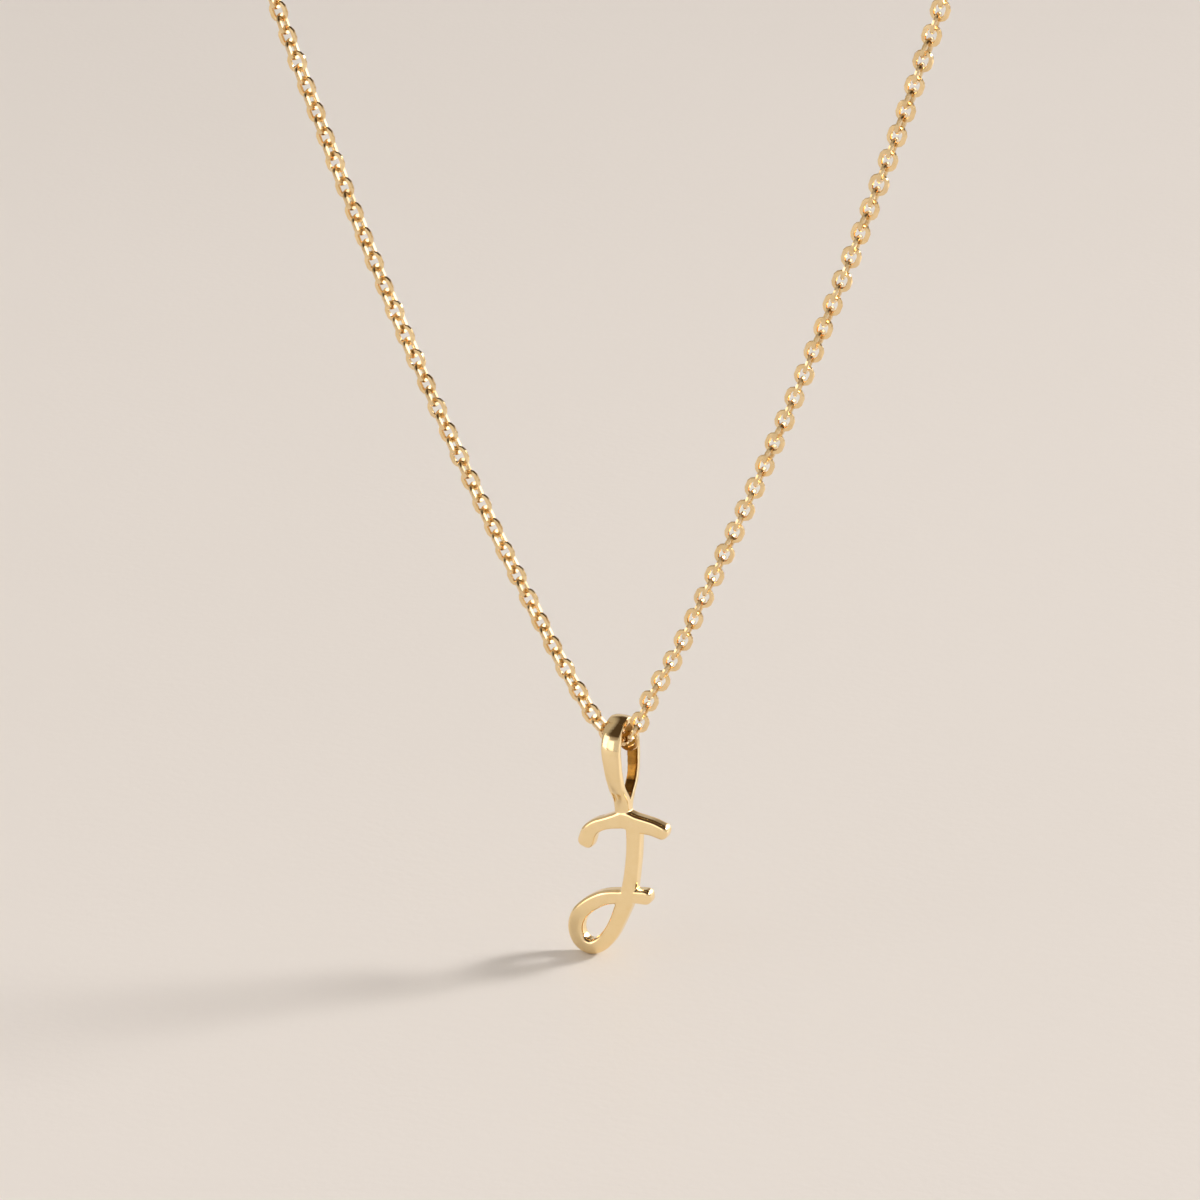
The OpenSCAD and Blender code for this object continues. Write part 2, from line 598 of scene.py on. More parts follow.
LETTER_GOLD = GoldFinish(
    name="polished gold",
    bright=(0.97, 0.77, 0.45), deep=(0.95, 0.74, 0.41),
    low_roughness=0.07, high_roughness=0.13,
    wave_height=0.012, hairline_height=0.02,
)
# Painted shade in the bail's hollow: the dark amber colours stand in for shade, and the higher
# roughness for a less polished inner wall
HOLLOW_SHADE_GOLD = GoldFinish(
    name="rougher gold with painted shade inside the bail",
    bright=(0.48, 0.23, 0.04), deep=(0.26, 0.13, 0.03),
    low_roughness=0.12, high_roughness=0.24,
    wave_height=0.03, hairline_height=0.03,
)
CHAIN_GOLD = GoldFinish(
    name="fine link gold",
    bright=(0.90, 0.70, 0.415), deep=(0.84, 0.61, 0.315),
    low_roughness=0.13, high_roughness=0.22,
    wave_height=0.02, hairline_height=0.02,
)
CLASP_GOLD = GoldFinish(
    name="round wire gold",
    bright=(0.96, 0.76, 0.43), deep=(0.93, 0.70, 0.35),
    low_roughness=0.09, high_roughness=0.17,
    wave_height=0.02, hairline_height=0.03,
)


# The letter pendant


@dataclass
class LetterPendant:
    """The script letter and its bail, cast in one, in millimetres."""

    letter_height: float = 11.6
    letter_width: float = 8.0
    stroke_width: float = 1.17
    letter_thickness: float = 1.1
    letter_bevel: float = 0.3
    tip_round: float = 0.50
    bevel_steps: int = 5
    opening_height: float = 5.53
    opening_depth: float = 2.9
    bail_crown: float = 1.33
    arc_fall: float = 0.7
    bail_wall: float = 0.58
    bail_rim: float = 0.38
    bail_width: float = 1.45
    bail_foot_width: float = 1.2
    bail_root_width: float = 1.1
    narrow_share: float = 0.7
    back_taper: float = 0.66
    foot_shift: float = 0.13
    bail_lean: float = 0.24
    tip_wall: float = 1.07
    bail_root: float = 0.5
    knee_start: float = 0.86
    hollow_start: float = 0.2
    hollow_facing: float = 0.7
    swing_axis_z: float = SWING_AXIS_Z
    station_spacing: float = 0.25
    tip_step: int = 10
    arc_steps: int = 14
    dome_corners: int = 28
    fuse_grain: float = 0.046
    fuse_smoothing: int = 8
    # Strokes: [across, share of the width; down, share of the height; breadth, share of the stroke]
    bar: Table = (
        (-0.339, 0.230, 1.07), (-0.313, 0.179, 1.04), (-0.244, 0.131, 0.92),
        (-0.150, 0.101, 0.87), (-0.050, 0.077, 1.04), (0.031, 0.060, 1.25),
        (0.131, 0.074, 1.18), (0.231, 0.081, 1.09), (0.319, 0.089, 1.03), (0.392, 0.104, 0.98),
    )
    stem: Table = (
        (0.126, 0.106, 1.00), (0.125, 0.218, 0.96), (0.118, 0.304, 0.95), (0.106, 0.382, 0.94),
        (0.091, 0.459, 0.96), (0.070, 0.537, 1.00), (0.040, 0.606, 1.04), (-0.008, 0.686, 1.03),
        (-0.044, 0.748, 0.97), (-0.095, 0.821, 0.97), (-0.150, 0.878, 0.98),
        (-0.218, 0.925, 0.98), (-0.303, 0.952, 0.96), (-0.380, 0.939, 0.98),
        (-0.436, 0.899, 1.00), (-0.459, 0.833, 1.01), (-0.421, 0.744, 1.04),
        (-0.343, 0.682, 1.01), (-0.254, 0.637, 0.99), (-0.156, 0.603, 0.96),
        (-0.068, 0.588, 0.94), (0.031, 0.576, 0.90), (0.131, 0.564, 0.92), (0.226, 0.559, 0.98),
    )
    # Bail's leg below its arc, seen from the side: [depth, share of half the opening's; down,
    # share of the drop]
    bail_side: Table = (
        (1.00, 0.167), (0.93, 0.42), (0.82, 0.60), (0.59, 0.785), (0.32, 0.90), (0.10, 1.00),
    )
    # Rings of its knee and foot, as [depth and height of the inner face; of the outer one], from
    # the letter's middle and the opening's pointed bottom; the two legs overlap a little
    bail_foot: Table = (
        (0.464, 0.42, 0.975, 0.10), (0.297, 0.215, 0.855, -0.07), (0.145, 0.00, 0.745, -0.25),
        (0.04, -0.19, 0.66, -0.42), (-0.03, -0.45, 0.60, -0.62), (-0.03, -0.66, 0.56, -0.80),
        (-0.03, -0.87, 0.53, -0.97), (-0.03, -1.12, 0.50, -1.17), (-0.03, -1.35, 0.475, -1.37),
        (-0.03, -1.57, 0.45, -1.57),
    )

    @property
    def bail_bottom_z(self) -> float:
        """Height of the opening's pointed bottom."""
        return self.swing_axis_z + self.bail_crown - self.opening_height

    @property
    def letter_top_z(self) -> float:
        """Height that the letter's shares are counted down from."""
        return self.bail_bottom_z - self.tip_wall

    @property
    def drop(self) -> float:
        """Height from the swing axis down to the opening's pointed bottom."""
        return self.swing_axis_z - self.bail_bottom_z

    def bail_middle(self, share: float) -> float:
        """Where the bail's middle lies across, at a share of the way down to its narrow part."""
        return self.foot_shift - self.bail_lean * (1 - share)

    def bail_breadth(self, share: float) -> float:
        """How broad the bail is at a share of the way down to its narrow part."""
        return self.bail_width + (self.bail_foot_width - self.bail_width) * share

    def tip_rings(self, end: SweepRing, way: Vector) -> list[SweepRing]:
        """Rings that square off a stroke past its last full ring, with rounded corners.

        Args:
            end: The last full ring.
            way: Direction in which the stroke ends, of length 1.

        Returns:
            Rings of falling breadth, and of falling depth where the rim is bevelled.
        """
        radius = end.breadth / 2
        reach = radius - self.tip_round
        flat = radius - self.letter_bevel
        rings = []
        for degrees in range(0, 90 + 1, self.tip_step):
            turn = math.radians(degrees)
            past = reach + self.tip_round * math.sin(turn)
            breadth = 2 * (reach + self.tip_round * math.cos(turn))
            rim = math.sqrt(max(0.0, self.letter_bevel**2 - max(0.0, past - flat) ** 2))
            depth = self.letter_thickness - 2 * (self.letter_bevel - rim)
            rings.append(SweepRing(end.centre + way * past, end.angle, breadth, depth))
        return rings

    def stroke_rings(self, table: Table) -> list[SweepRing]:
        """Full rings along the middle of a stroke.

        Args:
            table: Rows of the stroke, in shares of the letter's sizes.

        Returns:
            Rings in order, with their angle measured from +X towards +Z.
        """
        sizes = (self.letter_width, self.letter_height, self.stroke_width)
        line = SmoothLine(
            tuple(Vector([share * size for share, size in zip(row, sizes)]) for row in table)
        )
        rings: list[SweepRing] = []
        for i, u in line.stations(self.station_spacing):
            spot, way = line.place(i, u), line.direction(i, u)
            angle = math.atan2(-way.y, way.x)
            if rings:
                angle += 2 * math.pi * round((rings[-1].angle - angle) / (2 * math.pi))
            centre = Vector((spot.x, 0.0, self.letter_top_z - spot.y))
            rings.append(SweepRing(centre, angle, spot.z, self.letter_thickness))
        return rings

    def build_stroke(self, name: str, table: Table) -> Object:
        """Models one stroke with rounded rims and tips.

        Args:
            name: Name of the stroke.
            table: Rows of the stroke, in shares of the letter's sizes.

        Returns:
            The stroke as a closed solid.
        """
        rings = self.stroke_rings(table)
        first, last = rings[0], rings[-1]
        deselect_all()
        bpy.ops.mesh.primitive_plane_add(size=1)
        stroke = bpy.context.object
        stroke.name = name
        stroke.scale = (first.breadth, first.depth, 1)
        apply_transform(stroke)
        edit_mode()
        bpy.ops.mesh.select_all(action="SELECT")
        bpy.ops.mesh.bevel(offset=self.letter_bevel, segments=self.bevel_steps, affect="VERTICES")
        object_mode()
        stroke.rotation_euler = (0, QUARTER - first.angle, 0)
        stroke.location = first.centre
        apply_transform(stroke)

        sweep = Sweep(
            axis=Axis.Y,
            across=lambda turn: Vector((math.sin(turn), 0, math.cos(turn))),
            through=lambda turn: Vector((0, 1, 0)),
        )
        ahead = Vector((math.cos(last.angle), 0, math.sin(last.angle)))
        behind = -Vector((math.cos(first.angle), 0, math.sin(first.angle)))
        pick_face(stroke, first.centre)
        # A turn about Y runs against the angle from +X towards +Z
        sweep.pull([self.turned(ring) for ring in rings + self.tip_rings(last, ahead)])
        pick_face(stroke, first.centre)
        sweep.pull([self.turned(ring) for ring in [first] + self.tip_rings(first, behind)])
        face_outwards(stroke)
        return stroke

    @staticmethod
    def turned(ring: SweepRing) -> SweepRing:
        """The same ring, with its angle counted as a turn about +Y."""
        return SweepRing(ring.centre, -ring.angle, ring.breadth, ring.depth)

    def bail_rings(self) -> list[SweepRing]:
        """Rings of the bail's front half, from its top down to its root in the letter's bar.

        Returns:
            Rings with the outward direction's angle, measured from +Y towards +Z.
        """
        rings = []
        half_depth = self.opening_depth / 2
        arc_height = self.bail_crown + self.arc_fall
        for k in range(self.arc_steps):
            turn = QUARTER * k / self.arc_steps
            back, up = math.sin(turn), math.cos(turn)
            height = arc_height * up - self.arc_fall
            share = max(0.0, -height) / (self.drop * self.narrow_share)
            centre = Vector((self.bail_middle(share), -half_depth * back, self.swing_axis_z + height))
            angle = math.atan2(half_depth * up, -arc_height * back)
            rings.append(SweepRing(centre, angle, self.bail_breadth(share), self.bail_wall))
        side = SmoothLine(
            tuple(Vector((depth * half_depth, -down * self.drop)) for depth, down in self.bail_side)
        )
        for i, u in side.stations(self.station_spacing):
            spot, way = side.place(i, u), side.direction(i, u)
            if spot.y < -self.drop * self.knee_start:
                break
            share = min(-spot.y / (self.drop * self.narrow_share), 1.0)
            centre = Vector((self.bail_middle(share), -spot.x, self.swing_axis_z + spot.y))
            angle = math.atan2(way.x, way.y) % (2 * math.pi)
            rings.append(SweepRing(centre, angle, self.bail_breadth(share), self.bail_wall))
        return rings + [self.foot_ring(row) for row in self.bail_foot]

    def foot_ring(self, row: tuple[float, float, float, float]) -> SweepRing:
        """A ring of the bail's knee or foot.

        Args:
            row: Row of the table `bail_foot`.

        Returns:
            The ring, which leans as the row's two points do.
        """
        depth, height, outer_depth, outer_height = row
        way = Vector((depth - outer_depth, outer_height - height))
        past = max(0.0, -height) / (self.tip_wall + self.bail_root)
        breadth = self.bail_foot_width + (self.bail_root_width - self.bail_foot_width) * past
        centre = Vector((self.foot_shift, -depth, self.bail_bottom_z + height))
        return SweepRing(centre, math.atan2(way.y, way.x) % (2 * math.pi), breadth, way.length)

    def back_ring(self, ring: SweepRing) -> SweepRing:
        """The ring of the back half that faces one of the front half.

        Args:
            ring: Ring of the front half.

        Returns:
            Its mirror image, which narrows on its left side as the band comes down.
        """
        fall = min((self.swing_axis_z + self.bail_crown - ring.centre.z) / self.bail_crown, 1.0)
        breadth = ring.breadth * (1 - (1 - self.back_taper) * fall)
        centre = Vector(
            (ring.centre.x + (ring.breadth - breadth) / 2, -ring.centre.y, ring.centre.z)
        )
        return SweepRing(centre, math.pi - ring.angle, breadth, ring.depth)

    def build_bail(self) -> Object:
        """Models the drop-shaped band: crowned outside, flat inside, its legs joined below.

        Returns:
            The band as a closed solid.
        """
        rings = self.bail_rings()
        top = rings[0]
        dome = self.bail_wall - self.bail_rim
        deselect_all()
        # A round plate of width 1, which the scale below makes the band's crowned half
        bpy.ops.mesh.primitive_circle_add(vertices=self.dome_corners, radius=0.5, fill_type="NGON")
        bail = bpy.context.object
        bail.name = "bail"
        bail.rotation_euler = (QUARTER, 0, 0)
        apply_transform(bail)
        bail.scale = (top.breadth, 1, 2 * dome)
        apply_transform(bail)
        edit_mode()
        bpy.ops.mesh.select_all(action="SELECT")
        bpy.ops.mesh.bisect(plane_co=(0, 0, 0), plane_no=(0, 0, 1), clear_inner=True)
        object_mode()
        # The crown's two low corners go down to the flat inner face
        pick_vertices(bail, lambda spot: spot.z < SAME_PLACE)
        edit_mode()
        bpy.ops.transform.translate(value=(0, 0, -self.bail_rim))
        object_mode()
        bail.location = top.centre + Vector((0, 0, self.bail_rim))
        apply_transform(bail)

        sweep = Sweep(
            axis=Axis.X,
            across=lambda angle: Vector((1, 0, 0)),
            through=lambda angle: Vector((0, math.cos(angle), math.sin(angle))),
        )
        pick_face(bail, top.centre)
        sweep.pull(rings)
        pick_face(bail, top.centre + Vector((0, 0, self.bail_wall / 2)))
        sweep.pull([self.back_ring(ring) for ring in rings])
        face_outwards(bail)
        return bail

    def build(self) -> Object:
        """Fuses strokes and bail into one cast piece.

        Returns:
            The finished pendant, in metres.
        """
        parts = [
            self.build_stroke("bar", self.bar),
            self.build_stroke("stem", self.stem),
            self.build_bail(),
        ]
        pendant = join(parts, "letter_pendant")
        fuse_parts(pendant, self.fuse_grain, self.fuse_smoothing)
        bring_to_metres(pendant)
        return pendant

    def faces_hollow(self, centre: Vector, normal: Vector) -> bool:
        """Whether a face looks into the bail's opening.

        Args:
            centre: Middle of the face, in metres.
            normal: Direction that the face looks in.

        Returns:
            True for the faces of the bail's inner wall.
        """
        if centre.z < (self.bail_bottom_z + self.hollow_start) * MM:
            return False
        middle = Vector((0, 0, min(centre.z, self.swing_axis_z * MM)))
        inward = middle - Vector((0, centre.y, centre.z))
        return inward.normalized().dot(normal) > self.hollow_facing

    def shade_hollow(self, pendant: Object) -> None:
        """Paints shade on the bail's inner wall with a dark amber colour, and gives it a rougher,
        less polished gloss.

        Args:
            pendant: The finished pendant.
        """
        pendant.data.materials.append(HOLLOW_SHADE_GOLD.material())
        clear_picks(pendant)
        bpy.context.tool_settings.mesh_select_mode = (False, False, True)
        # Faces that look into the bail's opening get the painted shade
        for polygon in pendant.data.polygons:
            polygon.select = self.faces_hollow(polygon.center, polygon.normal)
        pendant.active_material_index = 1
        edit_mode()
        bpy.ops.object.material_slot_assign()
        object_mode()

    def dress(self, pendant: Object) -> None:
        """Gives the pendant its finishes and its place among the moving bodies.

        Args:
            pendant: The finished pendant.
        """
        LETTER_GOLD.dress(pendant)
        self.shade_hollow(pendant)
        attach(pendant, "pendant")
        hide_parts("pendant")


# The chain


@dataclass(frozen=True)
class LinkPlace:
    """Where one link lies in the loop's plane, which way the chain runs there, and its kind."""

    centre: Vector
    way: Vector
    kind: LinkKind


@dataclass
class CableChain:
    """The closed loop of round links, in millimetres."""

    link_radius: float = 0.54
    wire_radius: float = 0.19
    face_width: float = 0.26
    link_stretch: float = 0.13
    end_press: float = 0.955
    face_press: float = 0.84
    link_sides: int = 14
    wire_sides: int = 6
    crisp_angle: float = 40.0
    pitch: float = 0.947
    roll_play: float = 6.0
    tilt_play: float = 1.5
    trail_spacing: float = 0.05
    swing_axis_z: float = SWING_AXIS_Z
    # Middle line of the chain as [x, z], from the clasp round to the clasp
    route: Table = (
        (-4.4, -0.2), (-14, -2.1), (-26, -7.8), (-36.5, -17.1), (-43.8, -29.1), (-47.2, -42.2),
        (-46.3, -58), (-42.3, -77.5), (-37.7, -96.8), (-32.5, -116), (-26.2, -135.5),
        (-22.9, -144), (-19.5, -152.4), (-11.6, -169.3), (-7.1, -177.8), (-4.5, -182.4),
        (-2.3, -185.8), (-1.6, -186.6), (-0.9, -187.2), (0, -187.5), (0.75, -187.1),
        (1.35, -186.2), (2.1, -184.4), (4.2, -180.6), (6.4, -176), (10.7, -166.5),
        (14.6, -157.3), (18.1, -148.3), (21.3, -139.6), (24.2, -131), (30, -114.7),
        (36, -95.4), (41.6, -76), (46.3, -58), (47.2, -42.2), (43.8, -29.1), (36.5, -17.1),
        (26, -7.8), (14, -2.1), (4.4, -0.2),
    )
    # Links that pass through the bail, as [x, height above the swing axis], upright and across
    # by turns, beginning and ending with an upright one
    bail_links: Table = (
        (-3.33, 3.27), (-2.83, 2.48), (-2.32, 1.70), (-1.68, 1.02), (-0.98, 0.41), (-0.22, 0.02),
        (0.62, 0.05), (1.06, 0.78), (1.46, 1.60), (1.82, 2.46), (2.20, 3.32),
    )
    # Last link of each side, which hangs in the clasp's small loop
    end_link: tuple[float, float] = (4.31, -0.17)
    # Links of the bend that belong to the left side
    left_share: int = 6
    chance: random.Random = field(default_factory=lambda: random.Random(LINK_SEED))

    def model_link(self) -> Object:
        """Models one link round the origin, its ring in the plane z = 0.

        Returns:
            The link that the others are copied from.
        """
        deselect_all()
        bpy.ops.mesh.primitive_torus_add(
            major_segments=self.link_sides,
            minor_segments=self.wire_sides,
            major_radius=self.link_radius,
            minor_radius=self.wire_radius,
        )
        link = bpy.context.object
        link.name = "link"
        # The rolled wire has broad flat faces, and they grow about the wire's middle
        for sign in (-1, 1):
            rim = self.link_radius + sign * self.wire_radius / 2
            wide = self.link_radius + sign * self.face_width / 2
            pick_vertices(link, lambda spot: abs(spot.to_2d().length - rim) < SAME_PLACE)
            edit_mode()
            bpy.ops.transform.resize(value=(wide / rim, wide / rim, 1), center_override=(0, 0, 0))
            object_mode()
        # The two halves move apart, which makes the round ring slightly oval
        for sign in (-1, 1):
            pick_vertices(link, lambda spot: spot.x * sign > 0)
            edit_mode()
            bpy.ops.transform.translate(value=(sign * self.link_stretch, 0, 0))
            object_mode()
        # The whole is rolled thinner, and its outer edge is pressed in a little at both ends
        link.scale = (1, 1, self.face_press)
        apply_transform(link)
        pick_vertices(link, self.on_outer_edge)
        edit_mode()
        bpy.ops.transform.resize(value=(self.end_press, 1, 1), center_override=(0, 0, 0))
        object_mode()
        # The rolled wire keeps flat faces, with an edge between them
        bpy.ops.object.shade_smooth_by_angle(angle=math.radians(self.crisp_angle))
        return link

    def on_outer_edge(self, spot: Vector) -> bool:
        """Whether a point of the link lies outside the middle line of its wire."""
        return (abs(spot.x) - self.link_stretch) ** 2 + spot.y**2 > self.link_radius**2

    def side_places(self, side: Side) -> list[LinkPlace]:
        """Places of the links of one side, from the bail up to the clasp.

        Args:
            side: Which side of the loop.

        Returns:
            The places in order.
        """
        bend = [Vector((x, self.swing_axis_z + height)) for x, height in self.bail_links]
        if side is Side.LEFT:
            near, first = bend[: self.left_share][::-1], self.left_share - 1
            start = bend[self.left_share]
        else:
            near, first = bend[self.left_share :], self.left_share
            start = bend[self.left_share - 1]
        centres = near + self.free_places(near[-1], side)
        kinds = (LinkKind.UPRIGHT, LinkKind.ACROSS)
        places = []
        for k, centre in enumerate(centres):
            before = centres[k - 1] if k else start
            after = centres[min(k + 1, len(centres) - 1)]
            kind = kinds[(first + side.value * k) % 2]
            places.append(LinkPlace(centre, (after - before).normalized(), kind))
        return places

    def free_places(self, low: Vector, side: Side) -> list[Vector]:
        """Middles of the links between the bend and the clasp, evenly spread along the route.

        Args:
            low: Middle of the bend's last link, an upright one.
            side: Which side of the loop.

        Returns:
            Middles in order, of which the last is the clasp's own link, an across one.
        """
        line = SmoothLine(tuple(Vector(point) for point in self.route))
        trail = [line.place(i, u) for i, u in line.stations(self.trail_spacing)]
        if side is Side.LEFT:
            trail.reverse()
        start = min(range(len(trail)), key=lambda k: (trail[k] - low).length)
        end = Vector((self.end_link[0] * side.value, self.end_link[1]))
        stop = min(range(len(trail)), key=lambda k: (trail[k] - end).length)
        trail = [low] + trail[start + 1 : stop] + [end]
        marks = [0.0]
        for before, after in zip(trail, trail[1:]):
            marks.append(marks[-1] + (after - before).length)
        # An odd number of links leads from an upright one to the clasp's own, which lies across
        count = math.ceil(marks[-1] / self.pitch)
        count += 1 - count % 2
        middles, k = [], 0
        for n in range(1, count + 1):
            reach = marks[-1] * n / count
            while k < len(marks) - 2 and marks[k + 1] < reach:
                k += 1
            share = (reach - marks[k]) / (marks[k + 1] - marks[k])
            middles.append(trail[k].lerp(trail[k + 1], share))
        return middles

    def pose(self, place: LinkPlace, loose: bool) -> Matrix:
        """Matrix that brings the modelled link to its place.

        Args:
            place: Where the link lies and which kind it is.
            loose: Whether it may roll and tilt a little, as links do.

        Returns:
            The link's matrix, in millimetres.
        """
        way = Vector((place.way.x, 0, place.way.y))
        roll = math.radians(place.kind.value)
        if loose:
            roll += math.radians(self.chance.uniform(-self.roll_play, self.roll_play))
            tilt = math.radians(self.chance.uniform(-self.tilt_play, self.tilt_play))
            way = Matrix.Rotation(tilt, 3, "Y") @ way
        face = Matrix.Rotation(roll, 3, way) @ Vector((0, 1, 0))
        turn = Matrix((way, face.cross(way), face)).transposed().to_4x4()
        return Matrix.Translation((place.centre.x, 0, place.centre.y)) @ turn

    def build_side(self, side: Side, link: Object) -> Object:
        """Copies the link along one side of the loop.

        Args:
            side: Which side of the loop.
            link: The modelled link.

        Returns:
            The side as one piece, in metres.
        """
        places = self.side_places(side)
        share = self.left_share
        bend_count = share if side is Side.LEFT else len(self.bail_links) - share
        links = []
        for k, place in enumerate(places):
            copy = link.copy()
            copy.data = link.data.copy()
            bpy.context.collection.objects.link(copy)
            copy.matrix_world = self.pose(place, bend_count <= k < len(places) - 1)
            links.append(copy)
        name = "chain_links_left" if side is Side.LEFT else "chain_links_right"
        chain = join(links, name)
        spacing = (places[-2].centre - places[-3].centre).length
        LOG.info("%s: %d links, pitch %.4f mm", name, len(places), spacing)
        bring_to_metres(chain)
        return chain

    def dress(self, chain: Object, side: Side) -> None:
        """Gives one side of the chain its finish and its place among the moving bodies.

        Args:
            chain: The finished side of the chain.
            side: Which side of the loop it is.
        """
        CHAIN_GOLD.dress(chain)
        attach(chain, "necklace")
        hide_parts("chain_left" if side is Side.LEFT else "chain_right")


# The clasp


@dataclass
class RingClasp:
    """The plain ring at the top of the loop, with a small loop soldered on at each side."""

    ring_width: float = 6.1
    ring_wire: float = 1.1
    loop_width: float = 1.7
    loop_wire: float = 0.45
    loop_x: float = 3.45
    ring_steps: int = 72
    loop_steps: int = 32
    wire_corners: int = 20
    fuse_grain: float = 0.05
    fuse_smoothing: int = 4

    def spin_ring(self, name: str, width: float, wire: float, steps: int, x: float) -> Object:
        """Spins a round wire section into a ring in the plane y = 0.

        Args:
            name: Name of the ring.
            width: Outer width of the ring.
            wire: Thickness of its wire.
            steps: Steps of the full turn.
            x: Place of the ring's centre on the X axis.

        Returns:
            The ring as a closed solid.
        """
        deselect_all()
        bpy.ops.mesh.primitive_circle_add(vertices=self.wire_corners, radius=wire / 2)
        ring = bpy.context.object
        ring.name = name
        ring.location = (x + (width - wire) / 2, 0, 0)
        apply_transform(ring)
        edit_mode()
        bpy.ops.mesh.select_all(action="SELECT")
        bpy.ops.mesh.spin(steps=steps, angle=2 * math.pi, center=(x, 0, 0), axis=(0, 1, 0))
        bpy.ops.mesh.select_all(action="SELECT")
        bpy.ops.mesh.remove_doubles(threshold=SAME_PLACE)
        object_mode()
        return ring

    def build(self) -> Object:
        """Models and fuses the ring and its loops.

        Returns:
            The clasp, in metres.
        """
        parts = [self.spin_ring("ring", self.ring_width, self.ring_wire, self.ring_steps, 0)]
        for side in Side:
            x = side.value * self.loop_x
            parts.append(self.spin_ring("loop", self.loop_width, self.loop_wire, self.loop_steps, x))
        clasp = join(parts, "clasp_ring")
        face_outwards(clasp)
        fuse_parts(clasp, self.fuse_grain, self.fuse_smoothing)
        bring_to_metres(clasp)
        return clasp

    def dress(self, clasp: Object) -> None:
        """Gives the clasp its finish and its place among the moving bodies.

        Args:
            clasp: The finished clasp.
        """
        CLASP_GOLD.dress(clasp)
        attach(clasp, "necklace")
        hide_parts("clasp")


# Floor, light and camera


@dataclass(frozen=True)
class PaperFinish:
    """Pale, faintly grained paper that the necklace is shown on."""

    name: str = "pale paper"
    light: Colour = (0.86, 0.83, 0.80)
    shade: Colour = (0.82, 0.79, 0.755)
    roughness: float = 0.5
    gloss: float = 0.5
    cloud_scale: float = 9.0
    cloud_detail: float = 3.0
    grain_scale: float = 1400.0
    grain_detail: float = 4.0
    grain_strength: float = 0.12
    grain_depth: float = 0.2 * MM

    def material(self) -> Material:
        """Builds the paper's material.

        Returns:
            The finished material.
        """
        material = bpy.data.materials.new(self.name)
        material.use_nodes = True
        tree = material.node_tree
        place = add_node(tree, "ShaderNodeTexCoord").outputs["Object"]
        cloud = add_noise(tree, place, self.cloud_scale, self.cloud_detail)
        grain = add_noise(tree, place, self.grain_scale, self.grain_detail)
        feeds = {"Strength": self.grain_strength, "Distance": self.grain_depth, "Height": grain}
        paper = {
            "Base Color": add_tone_mix(tree, cloud, self.light, self.shade),
            "Roughness": self.roughness,
            "Specular IOR Level": self.gloss,
            "Normal": add_node(tree, "ShaderNodeBump", feeds).outputs["Normal"],
        }
        feed_node(tree, tree.nodes["Principled BSDF"], paper)
        return material


@dataclass(frozen=True)
class SoftBox:
    """A plain rectangular lamp, in metres, aimed at the letter."""

    name: str
    towards: Triple
    distance: float
    width: float
    height: float
    power: float
    spread: float
    colour: Colour
    use: LampUse = LampUse.BOTH
    aim_shift: Triple = (0.0, 0.0, 0.0)

    def build(self, aim: Vector) -> None:
        """Adds the lamp.

        Args:
            aim: Point that the lamp faces.
        """
        way = Vector(self.towards).normalized()
        spot = aim + Vector(self.aim_shift) + way * self.distance
        bpy.ops.object.light_add(type="AREA", location=spot)
        lamp = bpy.context.object
        lamp.name = self.name
        lamp.rotation_euler = way.to_track_quat("Z", "Y").to_euler()
        lamp.data.shape = "RECTANGLE"
        lamp.data.size = self.width
        lamp.data.size_y = self.height
        lamp.data.energy = self.power
        lamp.data.spread = math.radians(self.spread)
        lamp.data.color = self.colour
        lamp.visible_camera = False
        lamp.visible_diffuse, lamp.visible_glossy = self.use.value


WARM: Colour = (1.0, 0.95, 0.88)
LAMPS = (
    SoftBox(
        name="key_lamp", towards=(0.77, 0.63, 0.50), distance=3.0, width=0.75, height=0.60,
        power=4.70, spread=44, colour=(1.0, 0.955, 0.92), aim_shift=(-0.05, -0.12, 0.0),
    ),
    SoftBox(
        name="side_lamp", towards=(-0.67, -0.70, 0.259), distance=0.8, width=0.38, height=0.45,
        power=0.50, spread=140, colour=WARM,
    ),
    SoftBox(
        name="front_strip", towards=(-0.289, -0.944, 0.20), distance=0.8, width=0.31, height=0.29,
        power=0.18, spread=140, colour=WARM,
    ),
    SoftBox(
        name="window_lamp", towards=(0.40, 0.86, 0.30), distance=1.5, width=0.95, height=0.75,
        power=4.5, spread=180, colour=(1.0, 0.97, 0.95), use=LampUse.MIRRORED_ONLY,
    ),
    SoftBox(
        name="fill_lamp", towards=(0.0, -0.1, 1.0), distance=5.0, width=12.0, height=12.0,
        power=155.0, spread=180, colour=(1.0, 0.97, 0.94), use=LampUse.LIGHTS_ONLY,
    ),
)


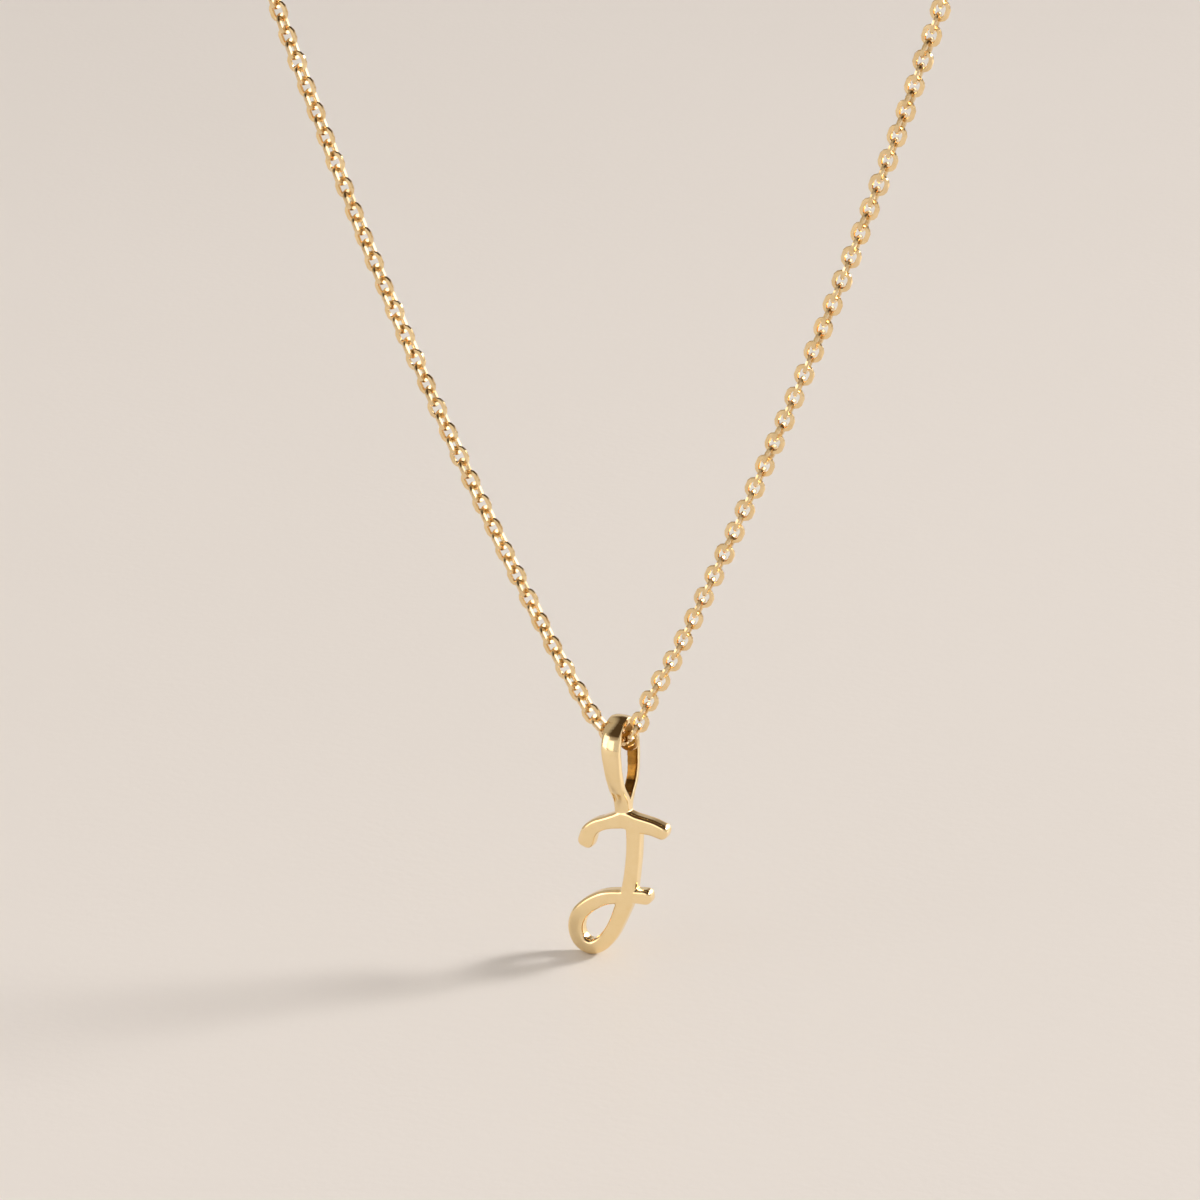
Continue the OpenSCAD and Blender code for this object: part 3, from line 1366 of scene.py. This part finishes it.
@dataclass(frozen=True)
class StudioAir:
    """The world: pale near the horizon, dark overhead, with a soft glow on the left.

    Each step is a direction's height and the colour there, and the glow starts and ends at the
    share of a direction that points along `glow_way`.
    """

    name: str = "studio air"
    strength: float = 1.0
    horizon: tuple[float, Colour] = (0.44, (0.66, 0.62, 0.60))
    haze: tuple[float, Colour] = (0.51, (0.34, 0.28, 0.23))
    overhead: tuple[float, Colour] = (0.62, (0.075, 0.05, 0.03))
    glow_way: Triple = (-0.85, 0.05, 0.5)
    glow_start: float = 0.66
    glow_end: float = 0.82
    glow: Colour = (0.50, 0.45, 0.39)

    def build(self) -> None:
        """Makes the world and gives it to the scene."""
        world = bpy.data.worlds.new(self.name)
        bpy.context.scene.world = world
        world.use_nodes = True
        tree = world.node_tree
        way = add_node(tree, "ShaderNodeTexCoord").outputs["Generated"]
        parts = add_node(tree, "ShaderNodeSeparateXYZ", {"Vector": way})
        height = add_node(tree, "ShaderNodeValToRGB", {"Fac": parts.outputs["Z"]})
        steps = height.color_ramp.elements
        steps[0].position, steps[0].color = self.horizon[0], (*self.horizon[1], 1)
        steps[1].position, steps[1].color = self.overhead[0], (*self.overhead[1], 1)
        steps.new(self.haze[0]).color = (*self.haze[1], 1)

        glow_way = Vector(self.glow_way).normalized()
        left = add_node(tree, "ShaderNodeVectorMath", {0: way, 1: glow_way}, operation="DOT_PRODUCT")
        side = left.outputs["Value"]
        feeds = {"Value": side, "From Min": self.glow_start, "From Max": self.glow_end}
        edge = add_node(tree, "ShaderNodeMapRange", feeds)
        feeds = {
            "Factor": edge.outputs["Result"],
            MIX_FIRST: height.outputs["Color"],
            MIX_SECOND: (*self.glow, 1),
        }
        mixed = add_node(tree, "ShaderNodeMix", feeds, data_type="RGBA")
        air = {"Color": mixed.outputs[MIX_RESULT], "Strength": self.strength}
        feed_node(tree, tree.nodes["Background"], air)


@dataclass
class Studio:
    """The pale floor, the soft lamps and the air around them, in metres but for the heights."""

    floor_z: float = -204.42
    aim_z: float = -196.0
    floor_size: float = 30.0
    floor_cells: int = 4
    lamps: Sequence[SoftBox] = LAMPS

    def build_floor(self) -> None:
        """Models the floor."""
        deselect_all()
        bpy.ops.mesh.primitive_grid_add(
            x_subdivisions=self.floor_cells, y_subdivisions=self.floor_cells, size=self.floor_size
        )
        floor = bpy.context.object
        floor.name = "floor"
        floor.location = (0, 0, self.floor_z * MM)
        apply_transform(floor)
        floor.data.materials.append(PaperFinish().material())

    def build(self) -> None:
        """Builds floor, air and lamps, and keeps plain colours in the picture."""
        self.build_floor()
        StudioAir().build()
        aim = Vector((0, 0, self.aim_z * MM))
        for lamp in self.lamps:
            lamp.build(aim)
        bpy.context.scene.view_settings.view_transform = "Standard"


@dataclass
class PhotoCamera:
    """The camera at the photograph's place, in millimetres and degrees."""

    place: Triple = (159.58, -353.40, -39.44)
    azimuth: float = 24.51
    elevation: float = 19.51
    roll: float = -0.67
    lens: float = 173.85
    sensor: float = 36.0
    nearest: float = 10.0
    farthest: float = 100000.0

    def build(self) -> None:
        """Adds the camera and makes it the scene's own."""
        around, up, lean = (math.radians(v) for v in (self.azimuth, self.elevation, self.roll))
        back = Vector(
            (math.sin(around) * math.cos(up), -math.cos(around) * math.cos(up), math.sin(up))
        )
        level = Vector((math.cos(around), math.sin(around), 0))
        upright = back.cross(level)
        right = level * math.cos(lean) + upright * math.sin(lean)
        top = upright * math.cos(lean) - level * math.sin(lean)
        bpy.ops.object.camera_add(location=Vector(self.place) * MM)
        camera = bpy.context.object
        camera.name = "photo_camera"
        camera.rotation_euler = Matrix((right, top, back)).transposed().to_euler()
        camera.data.lens = self.lens
        camera.data.sensor_width = self.sensor
        camera.data.clip_start = self.nearest * MM
        camera.data.clip_end = self.farthest * MM
        bpy.context.scene.camera = camera


# The whole


def report(piece: Object) -> None:
    """Logs a piece's name, its count of faces and its size in millimetres."""
    size = [round(v / MM, 2) for v in piece.dimensions]
    LOG.info("%s: %d faces, %s", piece.name, len(piece.data.polygons), size)


def main() -> None:
    """Builds the camera, the pieces and the studio in order."""
    logging.basicConfig(level=logging.INFO, format="%(name)s %(message)s")
    PhotoCamera().build()
    letter = LetterPendant()
    pendant = letter.build()
    letter.dress(pendant)
    report(pendant)
    cable = CableChain()
    link = cable.model_link()
    for side in Side:
        chain = cable.build_side(side, link)
        cable.dress(chain, side)
        report(chain)
    bpy.data.objects.remove(link)
    ring = RingClasp()
    clasp = ring.build()
    ring.dress(clasp)
    report(clasp)
    Studio().build()


if __name__ == "__main__":
    main()
